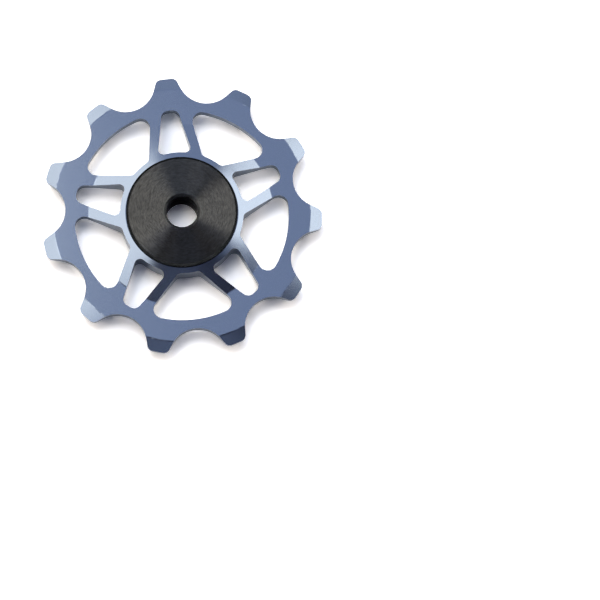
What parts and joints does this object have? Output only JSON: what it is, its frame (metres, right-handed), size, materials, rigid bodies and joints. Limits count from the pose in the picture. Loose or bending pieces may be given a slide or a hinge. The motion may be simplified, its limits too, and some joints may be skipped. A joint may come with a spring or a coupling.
{
  "type": "derailleur jockey wheel",
  "caption": "Toothed aluminium chain guide wheel for a bicycle's rear derailleur, with bevelled teeth, a coned and spoked web, a sealed ball bearing and two turned black covers.",
  "frame": {"origin": "on the axle bore's axis, in the wheel's middle plane", "axes": "+Z along the axle bore, towards the front cover; +Y through the middle of a tooth"},
  "size_m": [0.0448, 0.0444, 0.0072],
  "materials": {
    "blue_grey_anodised": "machined, satin anodised",
    "black_anodised": "turned, anodised black",
    "bearing_steel": "ground",
    "ball_ceramic": "polished",
    "cage_nylon": "moulded",
    "seal_rubber": "moulded"
  },
  "bodies": {
    "fixed_core": {"front_cover": "black_anodised", "rear_cover": "black_anodised", "bearing_inner_ring": "bearing_steel"},
    "toothed_wheel": {"pulley_wheel": "blue_grey_anodised", "bearing_outer_ring": "bearing_steel", "front_seal": "seal_rubber", "rear_seal": "seal_rubber"},
    "ball_train": {"ball_cage": "cage_nylon", "ball_1": "ball_ceramic", "ball_2": "ball_ceramic", "ball_3": "ball_ceramic", "ball_4": "ball_ceramic", "ball_5": "ball_ceramic", "ball_6": "ball_ceramic", "ball_7": "ball_ceramic", "ball_8": "ball_ceramic"}
  },
  "joints": [
    {"name": "wheel_spin", "type": "hinge", "parent": "fixed_core", "child": "toothed_wheel", "pos_m": [0, 0, 0], "axis": [0, 0, 1], "continuous": true},
    {"name": "cage_spin", "type": "hinge", "parent": "fixed_core", "child": "ball_train", "pos_m": [0, 0, 0], "axis": [0, 0, 1], "continuous": true}
  ],
  "couplings": [
    {"joint": "cage_spin", "follows": "wheel_spin", "ratio": 0.59524}
  ]
}
